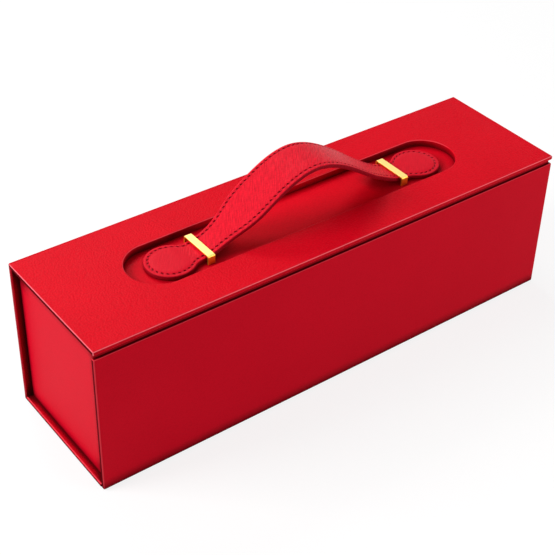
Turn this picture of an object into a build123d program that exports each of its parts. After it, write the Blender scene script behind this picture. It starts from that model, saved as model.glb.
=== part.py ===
from build123d import *
from math import atan, sqrt, tan
import os

# A book-style rigid gift box for one bottle: a base and back of covered board carry a glued-in tray,
# a lid hinged on paper closes it, and a front flap hinged to the lid is held to the tray by magnets.
# A sewn leather strap lies in a long recess in the lid and runs through two metal brackets.
# Frame: origin at the centre of the underside, X along the length, Y from the flap to the back, Z up.
# All sizes are in millimetres.

# Case
case_length = 350.0
case_width = 97.0
case_height = 104.5
board = 2.25
paper = 0.3
edge_radius = 0.85
back_hinge_paper_width = 1.0
back_hinge_corner = 0.25
flap_groove = 2.9
flap_floor_gap = 0.5
flap_liner_margin = 7.0

# Tray inside the case
end_overhang = 4.5
tray_board = 2.0
tray_front_gap = 0.4
tray_lid_gap = 0.3
tray_turn_in = 15.0

# Magnets in the flap and the steel discs they pull on
magnet_radius = 8.0
magnet_thickness = 1.5
magnet_end_distance = 65.0
magnet_height = 24.0

# Handle recess in the lid, with the room it leaves round the strap
strap_end_room = 12.5
strap_side_room = 4.5
spacer_board = 2.75
floor_board = 1.5
backing_board = 2.0
pad_clearance = 1.5

# Leather strap
leather = 1.4
bow_rise = 38.5
bow_half_length = 82.0
bow_width = 32.0
neck_width = 20.6
neck_start = 68.0
shoulder = 34.0
tab_radius = 16.0
tab_length = 29.5
neck_fillet = 9.0
strap_clearance = 0.3

# Brackets, each standing a little inside the foot of the bow
bracket_foot_distance = 7.0
bracket_width = 5.0
bracket_strip = 1.2
bracket_side_clearance = 1.8
bracket_headroom = 0.3
bracket_corner = 0.7
bracket_edge = 0.25
prong_length = 5.0
prong_bend = 1.0
plate_thickness = 0.6
plate_margin = 3.5
slit_clearance = 0.1
window_clearance = 0.5

# Places worked out from the sizes above
panel = board + 2 * paper
half_length = case_length / 2
half_width = case_width / 2
lid_underside = case_height - panel
flap_top = lid_underside - flap_groove

tray_half_length = half_length - end_overhang
tray_front = -half_width + panel + tray_front_gap
tray_back = half_width - panel
tray_top = lid_underside - tray_lid_gap
tray_wall = tray_board + 2 * paper

pad_half_length = tray_half_length - tray_wall - pad_clearance
pad_front = tray_front + tray_wall + pad_clearance
pad_back = tray_back - tray_wall - pad_clearance
spacer_top = case_height - paper - board
floor_board_top = spacer_top - spacer_board
recess_floor = floor_board_top + paper
floor_board_bottom = floor_board_top - floor_board
pad_board_bottom = floor_board_bottom - backing_board

strap_length = 2 * (bow_half_length + tab_length)
recess_length = strap_length + 2 * strap_end_room
recess_width = bow_width + 2 * strap_side_room
strap_thickness = 2 * leather
strap_bottom = recess_floor + strap_clearance
bracket_x = bow_half_length - bracket_foot_distance
bracket_inner_half = neck_width / 2 + bracket_side_clearance
bracket_half_span = bracket_inner_half + bracket_strip / 2


def bow_lift(x):
    """Height of the bow's underside over its lying place: an even S-curve from the crown to the foot."""
    t = min(abs(x) / bow_half_length, 1)
    return bow_rise * (1 - 3 * t**2 + 2 * t**3)


bracket_inner_edge = bracket_x - bracket_width / 2
bracket_underside = strap_bottom + bow_lift(bracket_inner_edge) + strap_thickness + bracket_headroom
bar_centre_height = bracket_underside + bracket_strip / 2
plate_bottom = floor_board_bottom - plate_thickness
prong_centre_height = plate_bottom - bracket_strip / 2
magnet_x = half_length - magnet_end_distance


def block(x0, x1, y0, y1, z0, z1):
    """A box between the given corners."""
    return Pos((x0 + x1) / 2, (y0 + y1) / 2, (z0 + z1) / 2) * Box(x1 - x0, y1 - y0, z1 - z0)


def rounded_block(x0, x1, y0, y1, z0, z1, radius):
    """A box between the given corners with every edge rounded."""
    body = block(x0, x1, y0, y1, z0, z1)
    return fillet(body.edges(), radius)


def below(body, plane):
    """The part of the body on the plane's underside."""
    return split(body, bisect_by=plane, keep=Keep.BOTTOM)


# The back edges are mitred: the boards meet in a V, and only the paper outside them is continuous.
lid_mitre = Plane(origin=(0, half_width, case_height), z_dir=(0, 1, -1))
spine_top_mitre = Plane(origin=(0, half_width, case_height), z_dir=(0, -1, 1))
spine_foot_mitre = Plane(origin=(0, half_width, 0), z_dir=(0, -1, -1))
base_mitre = Plane(origin=(0, half_width, 0), z_dir=(0, 1, 1))


def hinge_paper_zone():
    """The strip round the top back edge that bends when the lid opens, from end to end and square.

    The panels' covers end at this strip, so nothing of theirs lies beyond the hinge line.
    """
    reach = half_length
    top = block(
        -reach, reach, half_width - back_hinge_paper_width, half_width, case_height - paper, case_height
    )
    back = block(
        -reach, reach, half_width - paper, half_width, case_height - back_hinge_paper_width, case_height
    )
    return top + back


# Base and back panels


def base_block(inset):
    """The base panel, or the board in it when inset by the paper."""
    body = rounded_block(
        -half_length + inset,
        half_length - inset,
        tray_front + inset,
        half_width + panel,
        inset,
        panel - inset,
        edge_radius - inset,
    )
    return below(body, base_mitre)


def base_panel_board():
    return base_block(paper)


def base_panel_cover():
    """Paper on both faces of the base board and round its free edges; the tray is glued down on it."""
    return base_block(0) - base_block(paper)


def spine_block(inset):
    """The back panel, or the board in it when inset by the paper."""
    body = rounded_block(
        -half_length + inset,
        half_length - inset,
        half_width - panel + inset,
        half_width - inset,
        -panel,
        case_height + panel,
        edge_radius - inset,
    )
    return below(below(body, spine_top_mitre), spine_foot_mitre)


def spine_panel_board():
    return spine_block(paper)


def spine_panel_cover():
    """Paper on both faces of the back board and round its free edges; the tray's back is glued to it."""
    return spine_block(0) - spine_block(paper) - hinge_paper_zone()


# Tray


def tray_block(inset, top):
    """The tray's outside, or that of its boards when inset by the paper, with a square foot."""
    body = block(
        -tray_half_length + inset,
        tray_half_length - inset,
        tray_front + inset,
        tray_back - inset,
        panel,
        top,
    )
    foot = body.edges().group_by(Axis.Z)[0]
    rounded = [edge for edge in body.edges() if edge not in foot]
    return fillet(rounded, edge_radius - inset)


def tray_room(inset, floor, top):
    """The space inside the tray, made smaller by the inset on all four sides."""
    wall = tray_board + paper + inset
    return block(
        -tray_half_length + wall,
        tray_half_length - wall,
        tray_front + wall,
        tray_back - wall,
        floor,
        top,
    )


tray_board_top = tray_top - paper
tray_floor = panel + tray_board


def disc(side, y):
    """A magnet or steel disc standing on edge, with its front face at y."""
    face = Plane(origin=(side * magnet_x, y, magnet_height), z_dir=(0, 1, 0)) * Circle(magnet_radius)
    return extrude(face, magnet_thickness)


def striker_disc(side):
    """The steel disc in the tray's front wall that a flap magnet pulls on."""
    return disc(side, tray_front + paper)


def tray_side(y0, y1):
    """A long wall board over the tray's whole length, its outer corners and rim eased by the wrapping."""
    shell = tray_block(paper, tray_board_top)
    return shell & block(-half_length, half_length, y0, y1, panel, tray_board_top)


def tray_front_panel():
    """Front wall board, with a blind pocket for each steel disc under the outer paper."""
    wall = tray_side(tray_front + paper, tray_front + paper + tray_board)
    for side in (-1, 1):
        wall -= striker_disc(side)
    return wall


def tray_back_panel():
    return tray_side(tray_back - paper - tray_board, tray_back - paper)


def tray_end_panel(side):
    """An end wall board, standing between the two long ones."""
    outer = side * (tray_half_length - paper)
    inner = side * (tray_half_length - paper - tray_board)
    slot = block(
        min(outer, inner),
        max(outer, inner),
        tray_front + paper + tray_board,
        tray_back - paper - tray_board,
        panel,
        tray_board_top,
    )
    return tray_block(paper, tray_board_top) & slot


def tray_bottom_panel():
    return tray_room(0, panel, tray_floor)


def tray_wrap():
    """Covering paper round the four walls, over the rim and down inside as far as the turn-in."""
    skin = tray_block(0, tray_top) - tray_block(paper, tray_board_top)
    turned_in = tray_room(0, tray_top - tray_turn_in, tray_top)
    return skin + turned_in - tray_room(paper, panel, tray_top)


def tray_lining():
    """Lining paper on the floor and up the walls to the turn-in of the wrap."""
    outside = tray_room(0, tray_floor, tray_top - tray_turn_in)
    return outside - tray_room(paper, tray_floor + paper, tray_top)


# Lid


def recess_outline(inset):
    """The round-ended outline of the handle recess, made larger by the inset."""
    return SlotOverall(recess_length + 2 * inset, recess_width + 2 * inset)


def recess_prism(inset, z0, z1):
    return Pos(0, 0, z0) * extrude(recess_outline(inset), z1 - z0)


def lid_block(inset):
    """The lid panel with its cut-out, or the board in it when inset by the paper."""
    radius = edge_radius - inset
    body = rounded_block(
        -half_length + inset,
        half_length - inset,
        -half_width + inset,
        half_width + panel,
        lid_underside + inset,
        case_height - inset,
        radius,
    )
    body = below(body, lid_mitre) - recess_prism(inset, lid_underside, case_height)
    top_face = body.faces().sort_by(Axis.Z)[-1]
    rim = top_face.inner_wires()[0].edges()
    return fillet(rim, radius)


def lid_panel_board():
    return lid_block(paper)


def pad_block(inset, z0, z1):
    """The footprint of the pad under the lid, or of the boards in it when inset by the paper."""
    body = block(
        -pad_half_length + inset,
        pad_half_length - inset,
        pad_front + inset,
        pad_back - inset,
        z0,
        z1,
    )
    return fillet(body.edges().filter_by(Axis.Z), edge_radius - inset)


def eased_pad_block(inset, z0, z1):
    """The same footprint with its lower edge rounded too."""
    body = pad_block(inset, z0, z1)
    return fillet(body.edges().group_by(Axis.Z)[0], edge_radius - inset)


def lid_panel_cover():
    """Paper over the lid board, turned in on its underside as far as the pad and down the recess wall."""
    skin = lid_block(0) - lid_block(paper) - hinge_paper_zone()
    skin -= pad_block(paper, lid_underside, lid_underside + paper)
    wall = recess_prism(paper, recess_floor, spacer_top) - recess_prism(0, recess_floor, spacer_top)
    return skin + wall


def bracket_slits():
    """The slits through the recess floor for the legs of both brackets."""
    slits = [
        Pos(side * bracket_x, leg * bracket_half_span, floor_board_bottom)
        * Box(
            bracket_width + 2 * slit_clearance,
            bracket_strip + 2 * slit_clearance,
            recess_floor - floor_board_bottom,
            align=(Align.CENTER, Align.CENTER, Align.MIN),
        )
        for side in (-1, 1)
        for leg in (-1, 1)
    ]
    return Part() + slits


def recess_spacer():
    return pad_block(paper, floor_board_top, spacer_top) - recess_prism(paper, floor_board_top, spacer_top)


def recess_floor_panel():
    return pad_block(paper, floor_board_bottom, floor_board_top) - bracket_slits()


def recess_floor_paper():
    return recess_prism(paper, floor_board_top, recess_floor) - bracket_slits()


def plate_window(side):
    """The room in the backing board for one bracket's plate and bent prongs."""
    half_x = bracket_width / 2 + plate_margin + window_clearance
    half_y = bracket_half_span + bracket_strip / 2 + window_clearance
    return block(
        side * bracket_x - half_x,
        side * bracket_x + half_x,
        -half_y,
        half_y,
        pad_board_bottom,
        floor_board_bottom,
    )


def pad_backing_board():
    """Closing board of the pad, with a window round each bracket's fastening."""
    body = eased_pad_block(paper, pad_board_bottom, floor_board_bottom)
    for side in (-1, 1):
        body -= plate_window(side)
    return body


def pad_cover():
    """Paper round the pad's sides and underside, which shows when the lid is open."""
    outer = eased_pad_block(0, pad_board_bottom - paper, lid_underside)
    return outer - eased_pad_block(paper, pad_board_bottom, lid_underside)


# Front flap


def flap_block(inset):
    return rounded_block(
        -half_length + inset,
        half_length - inset,
        -half_width + inset,
        -half_width + panel - inset,
        flap_floor_gap + inset,
        flap_top - inset,
        edge_radius - inset,
    )


def flap_magnet(side):
    """A disc magnet let into the inner face of the flap board."""
    return disc(side, -half_width + paper + board - magnet_thickness)


def flap_panel_board():
    body = flap_block(paper)
    for side in (-1, 1):
        body -= flap_magnet(side)
    return body


def flap_liner_sheet():
    """Lining sheet on the inner face, inside the margin where the covering paper is turned in."""
    return block(
        -half_length + flap_liner_margin,
        half_length - flap_liner_margin,
        -half_width + panel - paper,
        -half_width + panel,
        flap_floor_gap + flap_liner_margin,
        flap_top - flap_liner_margin,
    )


def flap_panel_cover():
    return flap_block(0) - flap_block(paper) - flap_liner_sheet()


# Hinges


def lid_hinge_paper():
    """The covering paper round the top back edge, which is the lid's hinge, rounded with the case's ends."""
    strip = hinge_paper_zone()
    corner = strip.edges().filter_by(Axis.X).sort_by(lambda e: e.center().Y + e.center().Z)[-1]
    return fillet(corner, back_hinge_corner) & (lid_block(0) + spine_block(0))


def flap_hinge_paper():
    """The doubled paper in the groove, from the lid's front underside to the flap's inner top edge."""
    lid_y = -half_width + edge_radius
    flap_y = -half_width + panel - edge_radius
    width = 2 * paper
    sag = edge_radius / 2
    middle_y = (lid_y + flap_y + width) / 2 + sag
    middle_z = (lid_underside + flap_top) / 2 + sag
    outer = ThreePointArc((lid_y, lid_underside), (middle_y - width, middle_z), (flap_y, flap_top))
    inner = ThreePointArc((flap_y + width, flap_top), (middle_y, middle_z), (lid_y + width, lid_underside))
    ends = [
        Line((flap_y, flap_top), (flap_y + width, flap_top)),
        Line((lid_y + width, lid_underside), (lid_y, lid_underside)),
    ]
    section = make_face([outer, ends[0], inner, ends[1]])
    reach = half_length - edge_radius
    return extrude(Plane.YZ.offset(-reach) * section, 2 * reach)


# Handle strap


def strap_outline():
    """The strap from above: a wide bow, narrow necks under the brackets and a round tab at each end."""
    half_bow = bow_width / 2
    half_neck = neck_width / 2
    tab_x = strap_length / 2 - tab_radius
    ease = (neck_start - shoulder) / 2
    side = [
        Line((0, half_bow), (shoulder, half_bow)),
        Bezier(
            (shoulder, half_bow),
            (shoulder + ease, half_bow),
            (neck_start - ease, half_neck),
            (neck_start, half_neck),
        ),
        Line((neck_start, half_neck), (tab_x, half_neck)),
        Line((tab_x, half_neck), (tab_x, 0)),
        Line((tab_x, 0), (0, 0)),
        Line((0, 0), (0, half_bow)),
    ]
    quarter = make_face(side)
    half = quarter + mirror(quarter, about=Plane.XZ) + Pos(tab_x, 0) * Circle(tab_radius)
    neck_end = tab_x - sqrt(tab_radius**2 - half_neck**2)
    hollows = [half.vertices().sort_by_distance((neck_end, y, 0))[0] for y in (-half_neck, half_neck)]
    half = fillet(hollows, neck_fillet)
    return half + mirror(half, about=Plane.YZ)


def bow_curve(height):
    """A line in the strap at the given height over its underside, from the crown to the foot.

    The underside follows an even S-curve, a cubic, so four poles draw it exactly. A line above it
    keeps its distance on the slope by moving the two middle poles outwards. The S-curve is steepest
    halfway down, at one and a half times its mean slope, and there the two poles weigh three quarters.
    """
    steepest = atan(1.5 * bow_rise / bow_half_length)
    middle_poles_weight = 0.75
    shift = height * tan(steepest / 2) / middle_poles_weight
    third = bow_half_length / 3
    crown = strap_bottom + bow_rise + height
    foot = strap_bottom + height
    return [(0, crown), (third + shift, crown), (2 * third + shift, foot), (bow_half_length, foot)]


def bow_layer(low, high):
    """One leather layer of the bow, between two heights over the strap's underside."""
    lower = bow_curve(low)
    upper = bow_curve(high)
    edges = [
        Bezier(*lower),
        Line(lower[3], upper[3]),
        Bezier(*upper),
        Line(upper[0], lower[0]),
    ]
    half = make_face(edges)
    section = Plane.XZ.offset(-bow_width) * half
    ribbon = extrude(section, 2 * bow_width)
    ribbon = ribbon + mirror(ribbon, about=Plane.YZ)
    top = strap_bottom + bow_rise + 2 * strap_thickness
    return ribbon & extrude(Pos(0, 0, strap_bottom) * strap_outline(), top - strap_bottom)


def tab_layer(side, low, high):
    """One leather layer of a strap end, from the foot of the bow outwards, lying flat."""
    sheet = extrude(Pos(0, 0, strap_bottom + low) * strap_outline(), high - low)
    end = side * recess_length / 2
    foot = side * bow_half_length
    return sheet & block(
        min(end, foot),
        max(end, foot),
        -recess_width / 2,
        recess_width / 2,
        strap_bottom,
        strap_bottom + strap_thickness,
    )


# Brackets


def bracket(side):
    """A bar over the strap with a leg at each end, through the recess floor and bent over a plate."""
    c = bracket_half_span
    tip = c - prong_length
    low = prong_centre_height
    high = bar_centre_height
    path = FilletPolyline(
        (-tip, low),
        (-c, low),
        (-c, high),
        (c, high),
        (c, low),
        (tip, low),
        radius=[prong_bend, bracket_corner, bracket_corner, prong_bend],
    )
    path = Plane.YZ * path
    start = Plane(origin=path @ 0, x_dir=(1, 0, 0), z_dir=path % 0)
    section = start * RectangleRounded(bracket_width, bracket_strip, bracket_edge)
    return Pos(side * bracket_x, 0, 0) * sweep(section, path=path)


def bracket_plate(side):
    """The steel plate between the recess floor and the bent prongs."""
    half_y = bracket_inner_half + bracket_strip / 2 - prong_bend
    half_x = bracket_width / 2 + plate_margin
    x0 = side * bracket_x - half_x
    return block(x0, x0 + 2 * half_x, -half_y, half_y, plate_bottom, floor_board_bottom)


pieces = {
    "base_board": base_panel_board(),
    "base_cover": base_panel_cover(),
    "spine_board": spine_panel_board(),
    "spine_cover": spine_panel_cover(),
    "tray_bottom_board": tray_bottom_panel(),
    "tray_front_board": tray_front_panel(),
    "tray_back_board": tray_back_panel(),
    "tray_wrap": tray_wrap(),
    "tray_lining": tray_lining(),
    "lid_board": lid_panel_board(),
    "lid_cover": lid_panel_cover(),
    "recess_spacer_board": recess_spacer(),
    "recess_floor_board": recess_floor_panel(),
    "recess_floor_paper": recess_floor_paper(),
    "pad_backing_board": pad_backing_board(),
    "pad_cover": pad_cover(),
    "flap_board": flap_panel_board(),
    "flap_cover": flap_panel_cover(),
    "flap_liner": flap_liner_sheet(),
    "lid_hinge_paper": lid_hinge_paper(),
    "flap_hinge_paper": flap_hinge_paper(),
    "strap_lower_leather": bow_layer(0, leather),
    "strap_upper_leather": bow_layer(leather, strap_thickness),
}
for name, side in (("left", -1), ("right", 1)):
    pieces[f"tray_{name}_end_board"] = tray_end_panel(side)
    pieces[f"{name}_striker_disc"] = striker_disc(side)
    pieces[f"{name}_flap_magnet"] = flap_magnet(side)
    pieces[f"{name}_bracket"] = bracket(side)
    pieces[f"{name}_bracket_plate"] = bracket_plate(side)
    pieces[f"{name}_tab_lower_leather"] = tab_layer(side, 0, leather)
    pieces[f"{name}_tab_upper_leather"] = tab_layer(side, leather, strap_thickness)

os.makedirs("parts", exist_ok=True)
for name, shape in pieces.items():
    export_step(shape, f"parts/{name}.step")
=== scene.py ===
import bmesh
import bpy
import numpy as np
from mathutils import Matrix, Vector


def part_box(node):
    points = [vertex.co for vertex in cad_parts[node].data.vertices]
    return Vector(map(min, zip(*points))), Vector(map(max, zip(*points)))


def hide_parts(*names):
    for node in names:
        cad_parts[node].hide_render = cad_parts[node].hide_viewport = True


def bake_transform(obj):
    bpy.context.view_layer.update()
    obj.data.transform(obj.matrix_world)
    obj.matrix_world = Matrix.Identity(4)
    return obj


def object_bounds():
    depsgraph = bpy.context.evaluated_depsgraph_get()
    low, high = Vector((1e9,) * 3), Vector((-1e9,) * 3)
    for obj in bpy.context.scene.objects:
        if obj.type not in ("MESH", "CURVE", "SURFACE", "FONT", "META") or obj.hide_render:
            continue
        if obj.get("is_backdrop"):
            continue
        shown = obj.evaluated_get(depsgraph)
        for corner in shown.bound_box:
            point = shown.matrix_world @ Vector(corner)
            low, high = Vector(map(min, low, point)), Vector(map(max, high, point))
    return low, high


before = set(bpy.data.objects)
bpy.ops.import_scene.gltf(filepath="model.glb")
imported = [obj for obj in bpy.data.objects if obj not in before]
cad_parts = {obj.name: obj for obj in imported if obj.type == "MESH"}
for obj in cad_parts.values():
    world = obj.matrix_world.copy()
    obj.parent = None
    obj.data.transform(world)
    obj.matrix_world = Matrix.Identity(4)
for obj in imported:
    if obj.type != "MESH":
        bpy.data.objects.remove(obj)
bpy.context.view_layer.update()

# Studio table and background
# The box stands on a wide white table that runs on into a white background, as for a catalogue picture.
# A matt white laminate: it takes a soft grey shadow and throws a little light back on the box.


def linear(colour):
    """A hex sRGB colour as linear light: a straight part near black, and a power of 2.4 above it."""
    s = np.array([int(colour[i : i + 2], 16) for i in (1, 3, 5)]) / 255
    light = np.where(s <= 0.04045, s / 12.92, ((s + 0.055) / 1.055) ** 2.4)
    return (*light.tolist(), 1.0)


def add_node(tree, kind, inputs=(), **settings):
    """Adds a node, sets its properties, and gives each named input its value or its link."""
    node = tree.nodes.new(kind)
    for name, value in settings.items():
        setattr(node, name, value)
    for name, value in dict(inputs).items():
        if isinstance(value, bpy.types.NodeSocket):
            tree.links.new(value, node.inputs[name])
        else:
            node.inputs[name].default_value = value
    return node


def new_finish(name):
    """An empty material and its node tree."""
    material = bpy.data.materials.new(name)
    material.use_nodes = True
    material.node_tree.nodes.clear()
    return material, material.node_tree


def seen_directly(tree):
    """One where a ray comes from the camera, a reflection or a clear body, and zero for all other rays."""
    path = add_node(tree, "ShaderNodeLightPath")
    seen = add_node(
        tree,
        "ShaderNodeMath",
        {0: path.outputs["Is Camera Ray"], 1: path.outputs["Is Glossy Ray"]},
        operation="MAXIMUM",
    )
    return add_node(
        tree,
        "ShaderNodeMath",
        {0: seen.outputs[0], 1: path.outputs["Is Transmission Ray"]},
        operation="MAXIMUM",
    ).outputs[0]


def grid_piece(name, points, closed=False, facts=()):
    """A piece over one grid of points in millimetres, or over several, each row closed on itself if asked.

    Each face spans four neighbours. Points that coincide, as at a pole, are joined, open ends are filled,
    and the faces are then turned outwards. Each fact is a vector of its own at every point, kept with the
    mesh for its material to read.
    """
    index = np.arange(points[..., 0].size).reshape(points.shape[:-1])
    if closed:
        index = np.concatenate([index, index[..., :1]], axis=-1)
    faces = np.stack(
        [index[..., :-1, :-1], index[..., 1:, :-1], index[..., 1:, 1:], index[..., :-1, 1:]], axis=-1
    )
    mesh = bpy.data.meshes.new(name)
    mesh.from_pydata((points.reshape(-1, 3) * 0.001).tolist(), [], faces.reshape(-1, 4).tolist())
    for fact, values in dict(facts).items():
        layer = mesh.attributes.new(fact, "FLOAT_VECTOR", "POINT")
        layer.data.foreach_set("vector", values.reshape(-1).astype(np.float32))
    body = bmesh.new()
    body.from_mesh(mesh)
    bmesh.ops.remove_doubles(body, verts=body.verts, dist=1e-7)
    open_edges = [edge for edge in body.edges if edge.is_boundary]
    for edge in open_edges:
        edge.smooth = False
    bmesh.ops.holes_fill(body, edges=open_edges)
    bmesh.ops.recalc_face_normals(body, faces=body.faces)
    for face in body.faces:
        face.smooth = True
    body.to_mesh(mesh)
    body.free()
    piece = bpy.data.objects.new(name, mesh)
    bpy.context.scene.collection.objects.link(piece)
    return piece


table_half = 4.0
table = bpy.data.objects.new("table", bpy.data.meshes.new("table"))
table_corners = [(x * table_half, y * table_half, 0) for x, y in ((-1, -1), (1, -1), (1, 1), (-1, 1))]
table.data.from_pydata(table_corners, [], [(0, 1, 2, 3)])
bpy.context.scene.collection.objects.link(table)
laminate, tree = new_finish("white_laminate")
# Seen directly it shows four parts of plain white to one of lit white, so the shadow stays pale.
seen = seen_directly(tree)
tone = add_node(
    tree,
    "ShaderNodeMixRGB",
    {"Fac": seen, "Color1": linear("#B4B4B4"), "Color2": linear("#7E7E7E")},
)
matt = add_node(tree, "ShaderNodeBsdfDiffuse", {"Color": tone.outputs[0]})
lift = add_node(tree, "ShaderNodeMath", {0: seen, 1: 0.82}, operation="MULTIPLY")
glow = add_node(tree, "ShaderNodeEmission", {"Color": linear("#FFFFFF"), "Strength": lift.outputs[0]})
both = add_node(tree, "ShaderNodeAddShader", {0: matt.outputs[0], 1: glow.outputs[0]})
add_node(tree, "ShaderNodeOutputMaterial", {"Surface": both.outputs[0]})
table.data.materials.append(laminate)
table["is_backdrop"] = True

# The white room is seen at full strength, and lights the box at about a fifth of it.
room = bpy.data.worlds.new("studio")
bpy.context.scene.world = room
room.use_nodes = True
tree = room.node_tree
tree.nodes.clear()
strength = add_node(
    tree, "ShaderNodeMapRange", {"Value": seen_directly(tree), "To Min": 0.22, "To Max": 1.0}
)
air = add_node(
    tree, "ShaderNodeBackground", {"Color": linear("#FFFFFF"), "Strength": strength.outputs[0]}
)
add_node(tree, "ShaderNodeOutputWorld", {"Surface": air.outputs[0]})

# Lamps
# The main softbox stands high at the left, so the bow throws its shadow to the right and forwards. One
# behind gives the lid its sheen near the left front corner, a broad one in front lights the flap, and a
# faint one hangs overhead.


def softbox(name, place, width, height, power):
    """A rectangular lamp of a power in watts, placed and sized in metres and turned to the box."""
    lamp = bpy.data.lights.new(name, "AREA")
    lamp.shape = "RECTANGLE"
    lamp.size = width
    lamp.size_y = height
    lamp.energy = power
    stand = bpy.data.objects.new(name, lamp)
    box_middle = np.array([0, 0, 0.06])
    back = np.array(place) - box_middle
    back = back / np.linalg.norm(back)
    right = np.cross([0, 0, 1], back)
    right = right / np.linalg.norm(right)
    up = np.cross(back, right)
    grid = np.eye(4)
    grid[:3] = np.column_stack([right, up, back, place])
    stand.matrix_world = grid.T.tolist()
    bpy.context.scene.collection.objects.link(stand)


softbox("softbox_overhead", (-0.25, 0.20, 1.25), width=0.8, height=0.6, power=0.9)
softbox("softbox_back", (0.14, 0.97, 1.02), width=0.5, height=0.4, power=6.0)
softbox("softbox_left", (-1.00, 0.40, 0.76), width=0.6, height=0.5, power=13.0)
softbox("softbox_front", (0.90, -1.25, 0.50), width=0.9, height=0.6, power=11.2)

# Camera
# It stands in front of the left end and looks down at the box, with a long lens. Its place, turn and
# lens were fitted to the corners of the box in the picture. The place is given in metres from the middle
# of the box's foot, in the camera's own directions.
azimuth, elevation, roll = np.radians([-38.839, 36.229, 2.368])
off_right, off_up, distance = 0.0061, 0.0521, 0.8639
back = np.array(
    [np.sin(azimuth) * np.cos(elevation), -np.cos(azimuth) * np.cos(elevation), np.sin(elevation)]
)
right = np.array([np.cos(azimuth), np.sin(azimuth), 0.0])
up = np.cross(back, right)
right, up = (
    np.cos(roll) * right + np.sin(roll) * up,
    -np.sin(roll) * right + np.cos(roll) * up,
)
lens = bpy.data.cameras.new("camera")
lens.sensor_width = 36
lens.lens = 83.71
lens.shift_x = -0.0483
lens.shift_y = -0.0361
lens.clip_start = 0.05
camera = bpy.data.objects.new("camera", lens)
grid = np.eye(4)
place = off_right * right + off_up * up + distance * back
grid[:3] = np.column_stack([right, up, back, place])
camera.matrix_world = grid.T.tolist()
bpy.context.scene.collection.objects.link(camera)
bpy.context.scene.camera = camera
bpy.context.scene.view_settings.view_transform = "Standard"

# Covered panels
# Greyboard wrapped in red paper: base, back, lid and front flap, and the tray that is glued in.
# The paper is coated, dyed in the mass and embossed with a fine leather grain, so it has a soft sheen.

# Each fade is a pair of places along one axis, in metres, where painted highlight and painted shade
# on the paper begin and end.
lid_low, lid_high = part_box("lid_cover")
case_end_fade = lid_high.x - np.array([0.0015, 0.0009])
case_front_fade = lid_low.y + np.array([0.0011, 0.0007])
recess_far_fade = np.array([-0.004, 0.008])
recess_end_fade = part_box("recess_floor_paper")[1].x + np.array([0.0027, 0.0017])
tray_end_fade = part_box("tray_wrap")[1].x - np.array([0.0015, 0.0010])
under_lid_fade = lid_low.z - np.array([0.0145, 0.0065])
behind_flap_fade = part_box("flap_cover")[1].y + np.array([0.01465, 0.00765])


def embossed_relief(tree, place, grain):
    """The paper's relief, high where it is pressed in: creases between cells, and fibres of 0.4 mm.

    The cells have the grain's width in millimetres, and are pushed about by up to 0.7 of it.
    """
    warp = add_node(tree, "ShaderNodeTexNoise", {"Vector": place, "Scale": 400 / grain, "Detail": 2.0})
    bent = add_node(
        tree,
        "ShaderNodeVectorMath",
        {0: warp.outputs["Color"], 1: (0.0007 * grain,) * 3, 2: place},
        operation="MULTIPLY_ADD",
    )
    cells = add_node(tree, "ShaderNodeTexVoronoi", {"Vector": bent.outputs[0], "Scale": 1000 / grain})
    fibres = add_node(tree, "ShaderNodeTexNoise", {"Vector": place, "Scale": 2600.0, "Detail": 3.0})
    return add_node(
        tree,
        "ShaderNodeMath",
        {0: fibres.outputs["Fac"], 1: 0.35, 2: cells.outputs["Distance"]},
        operation="MULTIPLY_ADD",
    ).outputs[0]


def clouded_dye(tree, place, relief, colour, shade):
    """The paper's colour, which turns to the shade in its creases and in clouds of 70 mm."""
    cloud = add_node(tree, "ShaderNodeTexNoise", {"Vector": place, "Scale": 14.0, "Detail": 3.0})
    tone = add_node(
        tree,
        "ShaderNodeMapRange",
        {"Value": cloud.outputs["Fac"], "From Min": 0.3, "From Max": 0.7, "To Max": 0.3},
    )
    crease = add_node(
        tree, "ShaderNodeMapRange", {"Value": relief, "From Min": 0.5, "From Max": 1.0, "To Max": 0.4}
    )
    dark = add_node(tree, "ShaderNodeMath", {0: tone.outputs[0], 1: crease.outputs[0]}, operation="ADD")
    return add_node(
        tree, "ShaderNodeMixRGB", {"Fac": dark.outputs[0], "Color1": colour, "Color2": shade}
    ).outputs[0]


def paper_zones(tree, place):
    """How far a place lies past each fade, by the zone's name: from zero to one, or to 0.4."""
    spot = add_node(tree, "ShaderNodeSeparateXYZ", {"Vector": place})
    out = add_node(tree, "ShaderNodeMath", {0: spot.outputs["X"]}, operation="ABSOLUTE")
    zones = {}
    for zone, along, (begin, end), full in (
        ("case_end", out.outputs[0], case_end_fade, 1.0),
        ("left_end", spot.outputs["X"], -case_end_fade, 1.0),
        ("front", spot.outputs["Y"], case_front_fade, 1.0),
        ("recess_far", spot.outputs["Y"], recess_far_fade, 1.0),
        ("recess_end", out.outputs[0], recess_end_fade, 0.4),
        ("tray_end", out.outputs[0], tray_end_fade, 1.0),
        ("under_lid", spot.outputs["Z"], under_lid_fade, 1.0),
        ("behind_flap", spot.outputs["Y"], behind_flap_fade, 1.0),
    ):
        fade = add_node(
            tree,
            "ShaderNodeMapRange",
            {"Value": along, "From Min": begin, "From Max": end, "To Max": full},
        )
        zones[zone] = fade.outputs[0]
    return zones


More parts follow.
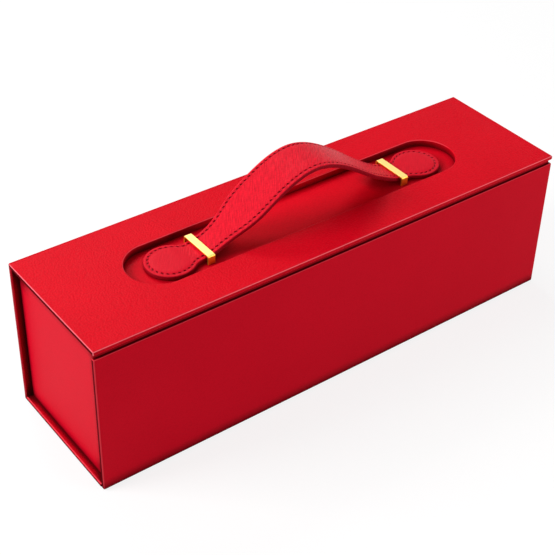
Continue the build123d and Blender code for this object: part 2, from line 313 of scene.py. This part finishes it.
def highlit_and_rubbed_edges(tree, facing, away, zones):
    """Where edges get a painted highlight and are rubbed smoother: the case's front edges and left end,
    and faintly, within the recess's length, the edges behind its middle, such as its far rim.

    An edge's rounding is found by its lean of about 45 degrees, upwards or sideways.
    """
    rim = add_node(
        tree, "ShaderNodeMath", {0: zones["left_end"], 1: zones["front"]}, operation="MAXIMUM"
    )
    corner = add_node(
        tree, "ShaderNodeMath", {0: zones["left_end"], 1: zones["front"]}, operation="MULTIPLY"
    )
    recess_rim = add_node(
        tree, "ShaderNodeMath", {0: zones["recess_far"], 1: zones["recess_end"]}, operation="MULTIPLY"
    )
    lit_rims = add_node(
        tree, "ShaderNodeMath", {0: rim.outputs[0], 1: recess_rim.outputs[0]}, operation="MAXIMUM"
    )
    lean = add_node(tree, "ShaderNodeSeparateXYZ", {"Vector": facing})
    level = add_node(tree, "ShaderNodeMath", {0: lean.outputs["Z"], 1: 0.7071}, operation="SUBTRACT")
    level = add_node(tree, "ShaderNodeMath", {0: level.outputs[0]}, operation="ABSOLUTE")
    slopes = add_node(
        tree, "ShaderNodeMapRange", {"Value": level.outputs[0], "From Min": 0.28, "From Max": 0.10}
    )
    slopes = add_node(
        tree, "ShaderNodeMath", {0: slopes.outputs[0], 1: lit_rims.outputs[0]}, operation="MULTIPLY"
    )
    upright = add_node(
        tree, "ShaderNodeMath", {0: away.outputs["X"], 1: away.outputs["Y"]}, operation="MULTIPLY"
    )
    upright = add_node(
        tree, "ShaderNodeMapRange", {"Value": upright.outputs[0], "From Min": 0.15, "From Max": 0.4}
    )
    upright = add_node(
        tree, "ShaderNodeMath", {0: upright.outputs[0], 1: corner.outputs[0]}, operation="MULTIPLY"
    )
    return add_node(
        tree, "ShaderNodeMath", {0: slopes.outputs[0], 1: upright.outputs[0]}, operation="MAXIMUM"
    ).outputs[0]


def painted_hollow_shade(tree, away, zones, shade_range):
    """Painted shade: how far the paper's colour is darkened where the box shuts a place in.

    The painted shade begins where less than the first share of the space within 12 mm is open. At the
    second share it is full, and the third share says how dark that is. Behind the overhang of the lid and
    the flap the tray's end wall gets a painted shadow sooner.
    """
    hollow = add_node(tree, "ShaderNodeAmbientOcclusion", {"Distance": 0.012}, samples=16)
    closed = add_node(
        tree,
        "ShaderNodeMapRange",
        {"Value": hollow.outputs["AO"], "From Min": shade_range[0], "From Max": shade_range[1], "To Max": shade_range[2]},
    )
    end_wall = add_node(
        tree,
        "ShaderNodeMath",
        {0: zones["tray_end"], 1: zones["case_end"]},
        operation="SUBTRACT",
        use_clamp=True,
    )
    sideways = add_node(
        tree, "ShaderNodeMapRange", {"Value": away.outputs["X"], "From Min": 0.5, "From Max": 0.8}
    )
    end_wall = add_node(
        tree, "ShaderNodeMath", {0: end_wall.outputs[0], 1: sideways.outputs[0]}, operation="MULTIPLY"
    )
    overhung = add_node(
        tree, "ShaderNodeMath", {0: zones["under_lid"], 1: zones["behind_flap"]}, operation="MAXIMUM"
    )
    overhung = add_node(
        tree, "ShaderNodeMath", {0: overhung.outputs[0], 1: end_wall.outputs[0]}, operation="MULTIPLY"
    )
    overhang_shadow = add_node(
        tree,
        "ShaderNodeMapRange",
        {"Value": hollow.outputs["AO"], "From Min": 1.0, "From Max": 0.90, "To Max": 0.75},
    )
    overhang_shadow = add_node(
        tree, "ShaderNodeMath", {0: overhang_shadow.outputs[0], 1: overhung.outputs[0]}, operation="MULTIPLY"
    )
    return add_node(
        tree, "ShaderNodeMath", {0: closed.outputs[0], 1: overhang_shadow.outputs[0]}, operation="MAXIMUM"
    ).outputs[0]


def covering_paper(
    name, colours, grain=0.8, depth=0.02, roughness=0.46, shade_range=(0.90, 0.50, 0.80), end_face_shade=0.0
):
    """Embossed paper in three colours: its own, that of its creases and clouds, and a painted highlight.

    Its grain has a width and a depth in millimetres. On lit edges the painted highlight is pale, and those
    edges are smoother, as if rubbed. Where the box shuts a place in, painted shade darkens the paper and
    it is matt, and the end-face share paints the case's end faces as dark as shade, matt too.
    """
    colour, shade, highlight_colour = (linear(tint) for tint in colours)
    material, tree = new_finish(name)
    skin = add_node(tree, "ShaderNodeTexCoord")
    place, facing = skin.outputs["Object"], skin.outputs["Normal"]
    faces = add_node(tree, "ShaderNodeVectorMath", {0: facing}, operation="ABSOLUTE")
    away = add_node(tree, "ShaderNodeSeparateXYZ", {"Vector": faces.outputs[0]})
    zones = paper_zones(tree, place)
    relief = embossed_relief(tree, place, grain)
    dye = clouded_dye(tree, place, relief, colour, shade)
    highlight_and_rub = highlit_and_rubbed_edges(tree, facing, away, zones)
    # closed is the painted shade in hollows and behind overhangs.
    closed = painted_hollow_shade(tree, away, zones, shade_range)
    # Painted shade on the case's end faces, by the end-face share; it joins the painted shade of hollows.
    end_shade = add_node(
        tree,
        "ShaderNodeMapRange",
        {"Value": away.outputs["X"], "From Min": 0.45, "From Max": 0.75, "To Max": end_face_shade},
    )
    end_shade = add_node(
        tree, "ShaderNodeMath", {0: end_shade.outputs[0], 1: zones["case_end"]}, operation="MULTIPLY"
    )
    painted_shade = add_node(tree, "ShaderNodeMath", {0: closed, 1: end_shade.outputs[0]}, operation="MAXIMUM")
    shaded_dye = add_node(
        tree,
        "ShaderNodeMixRGB",
        {"Fac": painted_shade.outputs[0], "Color1": dye, "Color2": linear("#3A0004")},
    )
    # Less painted highlight shows where painted shade lies.
    shade_cut = add_node(tree, "ShaderNodeMath", {0: closed, 1: 0.6}, operation="MULTIPLY")
    shown_highlight = add_node(
        tree, "ShaderNodeMath", {0: highlight_and_rub, 1: shade_cut.outputs[0]}, operation="SUBTRACT", use_clamp=True
    )
    surface = add_node(
        tree,
        "ShaderNodeMixRGB",
        {"Fac": shown_highlight.outputs[0], "Color1": shaded_dye.outputs[0], "Color2": highlight_colour},
    )
    gloss = add_node(
        tree, "ShaderNodeMapRange", {"Value": highlight_and_rub, "To Min": roughness, "To Max": 0.34}
    )
    gloss = add_node(
        tree, "ShaderNodeMath", {0: gloss.outputs[0], 1: painted_shade.outputs[0]}, operation="MAXIMUM"
    )
    bump = add_node(
        tree,
        "ShaderNodeBump",
        {"Height": relief, "Strength": 1.0, "Distance": depth * 0.001},
        invert=True,
    )
    paper = add_node(
        tree,
        "ShaderNodeBsdfPrincipled",
        {
            "Base Color": surface.outputs[0],
            "Roughness": gloss.outputs[0],
            "Specular IOR Level": 0.035,
            "Normal": bump.outputs[0],
        },
    )
    add_node(tree, "ShaderNodeOutputMaterial", {"Surface": paper.outputs[0]})
    return material


def dress(material, *nodes):
    """Gives pieces from the drawing their finish."""
    for node in nodes:
        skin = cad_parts[node].data.materials
        skin.clear()
        skin.append(material)


# The lid's cells are 1.2 mm wide: finer ones, as on the real paper, wouldn't show at this distance.
grained_red = covering_paper(
    "embossed_red_paper",
    ("#E2041E", "#C60216", "#FF7480"),
    grain=1.2,
    depth=0.17,
    roughness=0.40,
    shade_range=(0.86, 0.50, 0.90),
    end_face_shade=0.9,
)
# Flap, back, base, tray and recess floor have copies of the lid's paper. They differ a little in tint and
# grain, and in how much painted shade and painted highlight they take.
smooth_red = covering_paper(
    "smooth_red_paper", ("#DE0C26", "#CC0820", "#F0404E"), shade_range=(0.90, 0.52, 0.92), end_face_shade=0.9
)
spine_red = covering_paper(
    "smooth_red_back_paper", ("#DE0C26", "#CC0820", "#E83848"), shade_range=(0.86, 0.56, 0.94), end_face_shade=0.45
)
ledge_red = covering_paper(
    "smooth_red_base_paper", ("#DE0822", "#CC061C", "#F24A5A"), shade_range=(0.68, 0.56, 0.90), end_face_shade=0.1
)
tray_red = covering_paper(
    "smooth_red_tray_paper", ("#E20828", "#D40420", "#FF6070"), shade_range=(0.86, 0.50, 0.80)
)
floor_red = covering_paper(
    "embossed_red_floor_paper",
    ("#E20620", "#CC041A", "#E20620"),
    grain=1.1,
    depth=0.10,
    shade_range=(0.80, 0.40, 0.60),
)
dress(grained_red, "lid_cover")
dress(smooth_red, "flap_cover")
dress(spine_red, "spine_cover")
dress(ledge_red, "base_cover")
dress(tray_red, "tray_wrap")
dress(floor_red, "recess_floor_paper")

# Lining and pad
# Uncoated red paper lines the tray, the pad under the lid and the inner face of the flap.
# It is thinner and more matt than the covering paper, and a little darker.
lining_red = covering_paper(
    "uncoated_red_lining", ("#B40E22", "#9C0A1A", "#C22436"), grain=0.6, depth=0.03, roughness=0.72
)
dress(lining_red, "tray_lining", "pad_cover", "flap_liner")

# Boards, plates, discs and magnets
# Raw greyboard of pressed waste paper, plain steel sheet, and nickel plated magnets. The paper hides them
# all, so they show only where the box is cut open.

# The greyboard is dull, with flecks of 1.1 mm in a lighter and a darker grey.
greyboard, tree = new_finish("greyboard")
place = add_node(tree, "ShaderNodeTexCoord").outputs["Object"]
flecks = add_node(tree, "ShaderNodeTexNoise", {"Vector": place, "Scale": 900.0, "Detail": 5.0})
pulp = add_node(
    tree,
    "ShaderNodeMixRGB",
    {"Fac": flecks.outputs["Fac"], "Color1": linear("#8F8A80"), "Color2": linear("#6E6A62")},
)
rough = add_node(
    tree, "ShaderNodeBump", {"Height": flecks.outputs["Fac"], "Strength": 0.6, "Distance": 0.0001}
)
board = add_node(
    tree,
    "ShaderNodeBsdfPrincipled",
    {"Base Color": pulp.outputs[0], "Roughness": 0.9, "Normal": rough.outputs[0]},
)
add_node(tree, "ShaderNodeOutputMaterial", {"Surface": board.outputs[0]})
dress(
    greyboard,
    "base_board",
    "tray_bottom_board",
    "tray_front_board",
    "tray_back_board",
    "tray_left_end_board",
    "tray_right_end_board",
    "recess_spacer_board",
    "recess_floor_board",
    "pad_backing_board",
    "flap_board",
)

# The sheet is a grey mirror, blurred unevenly by rolling lines 4 mm long and 0.2 mm wide.
steel, tree = new_finish("rolled_steel")
place = add_node(tree, "ShaderNodeTexCoord").outputs["Object"]
rolled = add_node(
    tree,
    "ShaderNodeMapping",
    {"Vector": place, "Scale": (0.004, 0.0002, 0.0002)},
    vector_type="TEXTURE",
)
lines = add_node(tree, "ShaderNodeTexNoise", {"Vector": rolled.outputs[0], "Scale": 1.0, "Detail": 3.0})
sheen = add_node(
    tree, "ShaderNodeMapRange", {"Value": lines.outputs["Fac"], "To Min": 0.25, "To Max": 0.5}
)
sheet = add_node(
    tree,
    "ShaderNodeBsdfPrincipled",
    {"Base Color": linear("#C3C4C6"), "Metallic": 1.0, "Roughness": sheen.outputs[0]},
)
add_node(tree, "ShaderNodeOutputMaterial", {"Surface": sheet.outputs[0]})
dress(steel, "left_striker_disc", "right_striker_disc", "left_bracket_plate", "right_bracket_plate")

# The nickel is a warm, sharper mirror with scuffs of 0.8 mm.
nickel, tree = new_finish("nickel_plating")
place = add_node(tree, "ShaderNodeTexCoord").outputs["Object"]
scuffs = add_node(tree, "ShaderNodeTexNoise", {"Vector": place, "Scale": 1200.0, "Detail": 3.0})
sheen = add_node(
    tree, "ShaderNodeMapRange", {"Value": scuffs.outputs["Fac"], "To Min": 0.12, "To Max": 0.32}
)
plate = add_node(
    tree,
    "ShaderNodeBsdfPrincipled",
    {"Base Color": linear("#D2CCC0"), "Metallic": 1.0, "Roughness": sheen.outputs[0]},
)
add_node(tree, "ShaderNodeOutputMaterial", {"Surface": plate.outputs[0]})
dress(nickel, "left_flap_magnet", "right_flap_magnet")

# Brackets
# Two flat strips, bent square over the strap, with crisp edges and their prongs under the recess floor.
# Pale gold plating, polished: a bright top, and sides painted a warm orange as a reflection of the
# red paper round them.
gold, tree = new_finish("polished_gold_plating")
turned = add_node(tree, "ShaderNodeTexCoord").outputs["Normal"]
turned = add_node(tree, "ShaderNodeSeparateXYZ", {"Vector": turned})
flat_top = add_node(
    tree, "ShaderNodeMapRange", {"Value": turned.outputs["Z"], "From Min": 0.5, "From Max": 0.85}
)
# Painted reflection: the sides of the bend are a redder orange than the top, for the red paper round them.
gold_and_painted_reflection = add_node(
    tree,
    "ShaderNodeMixRGB",
    {"Fac": flat_top.outputs[0], "Color1": linear("#FFA436"), "Color2": linear("#FEDE82")},
)
# Polishing marks 2.5 mm long and 0.1 mm wide run along each strip and blur the mirror unevenly.
place = add_node(tree, "ShaderNodeTexCoord").outputs["Object"]
polish = add_node(
    tree,
    "ShaderNodeMapping",
    {"Vector": place, "Scale": (0.0001, 0.0025, 0.0025)},
    vector_type="TEXTURE",
)
marks = add_node(tree, "ShaderNodeTexNoise", {"Vector": polish.outputs[0], "Scale": 1.0, "Detail": 2.0})
sheen = add_node(
    tree, "ShaderNodeMapRange", {"Value": marks.outputs["Fac"], "To Min": 0.26, "To Max": 0.44}
)
plating = add_node(
    tree,
    "ShaderNodeBsdfPrincipled",
    {"Base Color": gold_and_painted_reflection.outputs[0], "Metallic": 0.8, "Roughness": sheen.outputs[0]},
)
add_node(tree, "ShaderNodeOutputMaterial", {"Surface": plating.outputs[0]})
dress(gold, "left_bracket", "right_bracket")

# Paper hinges
# The lid turns on a strip of the covering paper round the top back edge, and the flap on a doubled strip
# in the groove under the lid's front edge. Both are the same sheet as the panels, only without a board.


def drawn_box(node):
    """The lowest and the highest corner of a drawn piece, in millimetres."""
    return [np.round(np.array(corner) * 1000, 3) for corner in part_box(node)]


def paper_strip(name, section, reach):
    """A closed section, as y and z in millimetres, carried straight along the box from end to end."""
    x = np.linspace(-reach, reach, 29)
    points = np.empty((len(x), len(section), 3))
    points[..., 0] = x[:, None]
    points[..., 1:] = section[None]
    return grid_piece(name, points, closed=True)


# The back strip follows two sides of a square corner, eased to a quarter circle as deep as the paper.
case_half = drawn_box("lid_cover")[1][0]
low, high = drawn_box("lid_hinge_paper")
paper_thick, strip_trim = 0.3, 0.6
inside = high - paper_thick
turn = np.radians(np.linspace(0, 90, 7))
outside = inside[1:] + paper_thick * np.stack([np.cos(turn), np.sin(turn)], axis=1)
section = np.concatenate(
    [
        [[inside[1], low[2]], [high[1], low[2]]],
        outside,
        [[low[1], high[2]], [low[1], inside[2]], inside[1:]],
    ]
)
lid_hinge = paper_strip("lid_hinge_strip", section, case_half - strip_trim)
creased_red = covering_paper(
    "creased_red_paper", ("#DA0C24", "#C80820", "#E0142C"), shade_range=(0.80, 0.40, 0.60)
)
lid_hinge.data.materials.append(creased_red)
# The same paper is turned in over the cut edges of the two boards that meet at the back hinge.
dress(creased_red, "spine_board", "lid_board")
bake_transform(lid_hinge)
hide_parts("lid_hinge_paper")

# The front strip is pressed inwards in the groove: a parabola between the lid's edge and the flap's.
low, high = drawn_box("flap_hinge_paper")
strip_thick, strip_trim = 0.35, 0.9
set_back, pressed_in = 1.15, 3.4
down = np.linspace(0, 1, 9)
bowed = np.stack(
    [
        low[1] + set_back * down + pressed_in * down * (1 - down),
        high[2] - (high[2] - low[2]) * down,
    ],
    axis=1,
)
section = np.concatenate([bowed, bowed[::-1] + [strip_thick, 0.0]])
flap_hinge = paper_strip("flap_hinge_strip", section, case_half - strip_trim)
# The groove's strip is painted a darker red than the panels, as painted shade in the groove.
groove_shaded_red = covering_paper(
    "shaded_groove_paper",
    ("#B8081C", "#A00414", "#C01024"),
    grain=0.9,
    roughness=0.6,
    shade_range=(0.62, 0.30, 0.60),
)
flap_hinge.data.materials.append(groove_shaded_red)
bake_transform(flap_hinge)
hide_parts("flap_hinge_paper")

# Strap
# Two layers of red calf leather with a pressed cross grain, glued back to back and sewn round the edge.
# It is wide in the bow, narrow under the brackets and round at the ends, and its cut edge is painted.

# The layers and the bow have the drawing's sizes, and every length of the strap is in millimetres.
low, high = drawn_box("strap_lower_leather")
strap_low = low[2]
layer_thick = drawn_box("strap_upper_leather")[0][2] - strap_low
strap_thick = 2 * layer_thick
bow_reach, bow_half = high[:2]
bow_rise = high[2] - strap_low - layer_thick
tip_centre, tip_radius, neck_half = 95.5, 16.0, 10.3
seam_inset, stitch_pitch = 2.7, 3.5


def bow_lift(x):
    """Height and slope of the bow's underside: it falls from the crown to the foot in an even S-curve."""
    t = np.clip(x / bow_reach, 0, 1)
    return bow_rise * (1 - 3 * t**2 + 2 * t**3), bow_rise * 6 * (t**2 - t) / bow_reach


def strap_edge():
    """The cut edge of one half from above: straight, an S from bow to neck, a hollow, and a half circle.

    The S is a cubic curve, and both of its inner poles lie halfway along it. The hollow is an arc that
    touches the neck and the half circle.
    """
    ease_start, ease_end, hollow_radius = 34.0, 68.0, 9.0
    ease_middle = (ease_start + ease_end) / 2
    t = np.linspace(0, 1, 41)[1:, None]
    ease = (
        (1 - t) ** 3 * [ease_start, bow_half]
        + 3 * (1 - t) ** 2 * t * [ease_middle, bow_half]
        + 3 * (1 - t) * t**2 * [ease_middle, neck_half]
        + t**3 * [ease_end, neck_half]
    )
    reach = np.sqrt((tip_radius + hollow_radius) ** 2 - (neck_half + hollow_radius) ** 2)
    hollow = np.array([tip_centre - reach, neck_half + hollow_radius])
    meet = np.arctan2(hollow[1], -reach)
    a = np.linspace(-np.pi / 2, meet - np.pi, 9)[1:]
    bend = hollow + hollow_radius * np.stack([np.cos(a), np.sin(a)], axis=1)
    b = np.linspace(meet, 0, 45)[1:]
    tip = [tip_centre, 0] + tip_radius * np.stack([np.cos(b), np.sin(b)], axis=1)
    # The points stand closer together where the two halves of the strap meet.
    x = np.concatenate([[0, 0.2, 0.6], np.linspace(1.2, ease_start, 30)])
    bow = np.stack([x, np.full_like(x, bow_half)], axis=1)
    x = np.linspace(ease_end, hollow[0], 14)[1:]
    neck = np.stack([x, np.full_like(x, neck_half)], axis=1)
    far = np.concatenate([bow, ease, neck, bend, tip])
    return np.concatenate([far, far[-2::-1] * [1, -1]])


def middle_line(edge):
    """The middle point that each point of the edge faces, and how far away it is."""
    middle = np.stack([np.minimum(edge[..., 0], tip_centre), np.zeros_like(edge[..., 0])], axis=-1)
    return middle, np.linalg.norm(edge - middle, axis=-1)


def strap_points(edge, inset, height):
    """Points of the strap, from its edge seen from above, the inset from it and the height in the strap.

    The inset runs towards the middle line, and the height stands square on the underside's curve.
    """
    middle, width = middle_line(edge)
    plan = edge + (middle - edge) * (inset / width)[..., None]
    lift, slope = bow_lift(plan[..., 0])
    tilt = 1 / np.sqrt(1 + slope**2)
    return np.stack(
        [
            plan[..., 0] - slope * tilt * height,
            plan[..., 1],
            strap_low + lift + tilt * height,
        ],
        axis=-1,
    )


edge = strap_edge()
width = middle_line(edge)[1]
# From the middle of the top to the rounded edge: shares of the inner field, then fixed insets.
field_inset = 5.5
field = np.array([1, 0.82, 0.64, 0.46, 0.3, 0.15] + [0] * 11)
fixed = np.array([field_inset] * 7 + [4.5, 3.8, 3.4, 3.1, 2.9, 2.7, 2.5, 2.3, 1.9, 1.4])
inset_top = fixed + field * (width[:, None] - field_inset)
# The corner is rounded over, and the two layers meet halfway down the edge in a shallow line.
edge_round, join_depth, join_half = 0.9, 0.14, 0.22
round_turn = np.radians(np.arange(0, 91, 15))
inset_rim = np.concatenate([edge_round * (1 - np.sin(round_turn)), [0.0, join_depth]])
inset = np.concatenate([inset_top, np.broadcast_to(inset_rim, (len(edge), len(inset_rim)))], axis=1)
rim_height = strap_thick - edge_round * (1 - np.cos(round_turn))
join_height = [layer_thick + join_half, layer_thick]
base_height = np.concatenate([np.full(len(fixed), strap_thick), rim_height, join_height])
# The thread pulls the seam into a dip. Inside it the top swells a little, and more on the round ends.
dip_depth, dip_width = 0.42, 0.42
bow_swell, tip_swell, swell_width = 0.06, 0.4, 3.0
tip_start, tip_full = 84.0, 90.0
face_depth = 0.3
dip = dip_depth * np.exp(-(((inset - seam_inset) / dip_width) ** 2))
inwards = np.clip((inset - seam_inset) / swell_width, 0, 1)
on_tip = np.clip((edge[:, :1] - tip_start) / (tip_full - tip_start), 0, 1)
swell = (bow_swell + tip_swell * on_tip) * inwards**2 * (3 - 2 * inwards)
on_face = base_height > strap_thick - face_depth
upper = base_height + np.where(on_face, swell - dip, 0)
under = strap_thick - base_height + np.where(on_face, dip, 0)
height = np.concatenate([upper, under[:, -2::-1]], axis=1)
inset = np.concatenate([inset, inset[:, -2::-1]], axis=1)
shape = strap_points(np.broadcast_to(edge[:, None], inset.shape + (2,)), inset, height)

# Each point knows where it lies along and across the strap, and along and across the seam, for the grain
# and the holes to follow the leather. The length along the bow is summed in steps of 0.1 mm.
steps = np.linspace(0, 130, 1301)
curve = np.concatenate([[0], np.cumsum(np.hypot(np.diff(steps), np.diff(bow_lift(steps)[0])))])
grain_place = np.stack([np.interp(shape[..., 0], steps, curve), shape[..., 1], height], axis=-1)
seam = strap_points(edge, np.full(len(edge), seam_inset), np.full(len(edge), strap_thick - face_depth))
run = np.concatenate([[0], np.cumsum(np.linalg.norm(np.diff(seam, axis=0), axis=1))])
stitches = int(round(run[-1] / stitch_pitch))
stitch_pitch = run[-1] / stitches
seam_place = np.stack([np.broadcast_to(run[:, None], inset.shape), inset, height], axis=-1)

leather, tree = new_finish("cross_grained_calf_leather")
place = add_node(tree, "ShaderNodeAttribute", attribute_name="grain_place").outputs["Vector"]
seam_at = add_node(tree, "ShaderNodeAttribute", attribute_name="seam_place").outputs["Vector"]
# The pressed lines are 6 mm long one way, and weaker and 2.6 mm long across them. They lie 0.9 mm apart,
# about twice as far as on real leather, so that they show at this distance.
hatch = []
for slant, length in ((52, 6.0), (-38, 2.6)):
    lay = add_node(
        tree,
        "ShaderNodeMapping",
        {
            "Vector": place,
            "Rotation": (0, 0, np.radians(slant)),
            "Scale": (0.001 * length, 0.0006, 0.001),
        },
        vector_type="TEXTURE",
    )
    lines = add_node(tree, "ShaderNodeTexNoise", {"Vector": lay.outputs[0], "Scale": 1.0, "Detail": 1.5})
    hatch.append(lines.outputs["Fac"])
crossed = add_node(tree, "ShaderNodeMath", {0: hatch[1], 1: 0.45, 2: hatch[0]}, operation="MULTIPLY_ADD")
# The lines are rubbed nearly flat on the round ends, beyond 90 mm along the strap from its middle.
from_middle = add_node(tree, "ShaderNodeSeparateXYZ", {"Vector": place})
from_middle = add_node(tree, "ShaderNodeMath", {0: from_middle.outputs["X"]}, operation="ABSOLUTE")
kept = add_node(
    tree,
    "ShaderNodeMapRange",
    {
        "Value": from_middle.outputs[0],
        "From Min": 0.088,
        "From Max": 0.096,
        "To Min": 1.0,
        "To Max": 0.3,
    },
)
crossed = add_node(tree, "ShaderNodeMath", {0: crossed.outputs[0], 1: 0.60}, operation="SUBTRACT")
crossed = add_node(
    tree, "ShaderNodeMath", {0: crossed.outputs[0], 1: kept.outputs[0], 2: 0.55}, operation="MULTIPLY_ADD"
)
parts = add_node(tree, "ShaderNodeSeparateXYZ", {"Vector": seam_at})
# A needle hole lies halfway between two stitches: a slanted oval with a soft rim.
hole_length, hole_width, hole_slant = 2.0, 1.1, 0.35
beat = add_node(
    tree,
    "ShaderNodeMath",
    {0: parts.outputs["X"], 1: stitch_pitch * 0.0005, 2: stitch_pitch * -0.0005},
    operation="WRAP",
)
along = add_node(
    tree, "ShaderNodeMath", {0: beat.outputs[0], 1: hole_length * 0.0005}, operation="DIVIDE"
)
off = add_node(
    tree, "ShaderNodeMath", {0: parts.outputs["Y"], 1: seam_inset * 0.001}, operation="SUBTRACT"
)
leant = add_node(
    tree,
    "ShaderNodeMath",
    {0: beat.outputs[0], 1: hole_slant, 2: off.outputs[0]},
    operation="MULTIPLY_ADD",
)
across = add_node(
    tree, "ShaderNodeMath", {0: leant.outputs[0], 1: hole_width * 0.0005}, operation="DIVIDE"
)
oval = add_node(tree, "ShaderNodeCombineXYZ", {"X": along.outputs[0], "Y": across.outputs[0]})
away = add_node(tree, "ShaderNodeVectorMath", {0: oval.outputs[0]}, operation="LENGTH")
hole = add_node(
    tree,
    "ShaderNodeMapRange",
    {
        "Value": away.outputs["Value"],
        "From Min": 0.7,
        "From Max": 1.25,
        "To Min": 1.0,
        "To Max": 0.0,
    },
)
# The cut edge is painted dark, and the paint ends 0.1 to 0.4 mm in from it.
rim_paint = add_node(
    tree,
    "ShaderNodeMapRange",
    {
        "Value": parts.outputs["Y"],
        "From Min": 0.0001,
        "From Max": 0.0004,
        "To Min": 1.0,
        "To Max": 0.0,
    },
)
# The pressed lines are darker and duller than the ridges between them.
dye = add_node(
    tree,
    "ShaderNodeMixRGB",
    {"Fac": crossed.outputs[0], "Color1": linear("#980412"), "Color2": linear("#FC1C34")},
)
painted = add_node(
    tree,
    "ShaderNodeMixRGB",
    {"Fac": rim_paint.outputs[0], "Color1": dye.outputs[0], "Color2": linear("#960A1C")},
)
# The holes are painted a dark red as painted shade inside them.
hole_shade = add_node(
    tree,
    "ShaderNodeMixRGB",
    {"Fac": hole.outputs[0], "Color1": painted.outputs[0], "Color2": linear("#8A0414")},
)
# A hole is 1.8 times as deep as the whole relief of the lines.
sunk = add_node(
    tree, "ShaderNodeMath", {0: hole.outputs[0], 1: -1.8, 2: crossed.outputs[0]}, operation="MULTIPLY_ADD"
)
bump = add_node(
    tree, "ShaderNodeBump", {"Height": sunk.outputs[0], "Strength": 1.0, "Distance": 0.00038}
)
gloss = add_node(
    tree, "ShaderNodeMapRange", {"Value": crossed.outputs[0], "To Min": 0.50, "To Max": 0.40}
)
hide = add_node(
    tree,
    "ShaderNodeBsdfPrincipled",
    {
        "Base Color": hole_shade.outputs[0],
        "Roughness": gloss.outputs[0],
        "Specular IOR Level": 0.05,
        "Normal": bump.outputs[0],
    },
)
add_node(tree, "ShaderNodeOutputMaterial", {"Surface": hide.outputs[0]})

for side, sign in (("left", -1), ("right", 1)):
    half = grid_piece(
        f"strap_{side}_half",
        shape * [sign, 1, 1],
        facts={
            "grain_place": grain_place * [sign * 0.001, 0.001, 0.001],
            "seam_place": seam_place * 0.001,
        },
    )
    half.data.materials.append(leather)
    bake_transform(half)
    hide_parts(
        "strap_upper_leather",
        "strap_lower_leather",
        f"{side}_tab_upper_leather",
        f"{side}_tab_lower_leather",
    )

# Stitches
# Waxed polyester thread, a shade lighter than the leather, in one lockstitch seam that runs round the
# strap. Each stitch lies in the seam's dip, a little slanted, and goes down into a hole at both ends.
# Its plies show as specks of 0.3 mm.
thread, tree = new_finish("waxed_red_thread")
place = add_node(tree, "ShaderNodeTexCoord").outputs["Object"]
ply = add_node(tree, "ShaderNodeTexNoise", {"Vector": place, "Scale": 3500.0, "Detail": 2.0})
twist = add_node(
    tree,
    "ShaderNodeMixRGB",
    {"Fac": ply.outputs["Fac"], "Color1": linear("#BE1228"), "Color2": linear("#E83448")},
)
wound = add_node(
    tree, "ShaderNodeBump", {"Height": ply.outputs["Fac"], "Strength": 0.6, "Distance": 0.00008}
)
yarn = add_node(
    tree,
    "ShaderNodeBsdfPrincipled",
    {
        "Base Color": twist.outputs[0],
        "Roughness": 0.5,
        "Specular IOR Level": 0.1,
        "Normal": wound.outputs[0],
    },
)
add_node(tree, "ShaderNodeOutputMaterial", {"Surface": yarn.outputs[0]})

thread_radius, thread_depth = 0.30, 0.36
stitch_half = 0.36 * stitch_pitch
stitch_slant, stitch_rise, stitch_dip = 0.13, 0.16, 0.3


def seam_stitches(height, outward):
    """All stitches of one face of a half: short rods that thin to a point and dip at both ends.

    The face has a height in the strap, and its outward side is 1 on the top and -1 underneath. Along
    each rod the radius is the root of one less the fourth power of the place along it.
    """
    path = strap_points(edge, np.full(len(edge), seam_inset), np.full(len(edge), height))
    centre = (np.arange(stitches) + 0.5) * stitch_pitch
    a = np.array([-1, -0.9, -0.55, 0, 0.55, 0.9, 1.0])
    at = centre[:, None] + a * stitch_half
    line, ahead, behind = (
        np.stack([np.interp(at + step, run, path[:, axis]) for axis in range(3)], axis=-1)
        for step in (0.0, 0.3, -0.3)
    )
    forward = ahead - behind
    forward /= np.linalg.norm(forward, axis=-1, keepdims=True)
    slope = bow_lift(line[..., 0])[1]
    normal = np.stack([-slope, np.zeros_like(slope), np.ones_like(slope)], axis=-1)
    normal /= np.linalg.norm(normal, axis=-1, keepdims=True)
    sideways = np.cross(normal, forward)
    aside = sideways * (stitch_slant * a)[:, None]
    lift = normal * (outward * (stitch_rise - stitch_dip * a**2))[:, None]
    radius = thread_radius * np.sqrt(1 - a**4)
    around = np.radians(np.arange(0, 360, 45))
    ring = (
        sideways[:, :, None] * np.cos(around)[:, None] + normal[:, :, None] * np.sin(around)[:, None]
    )
    return (line + aside + lift)[:, :, None] + ring * radius[:, None, None]


for side, sign in (("left", -1), ("right", 1)):
    rods = np.concatenate(
        [seam_stitches(strap_thick - thread_depth, 1), seam_stitches(thread_depth, -1)]
    )
    sewing = grid_piece(f"stitches_{side}_half", rods * [sign, 1, 1], closed=True)
    sewing.data.materials.append(thread)
    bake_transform(sewing)

low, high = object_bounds()
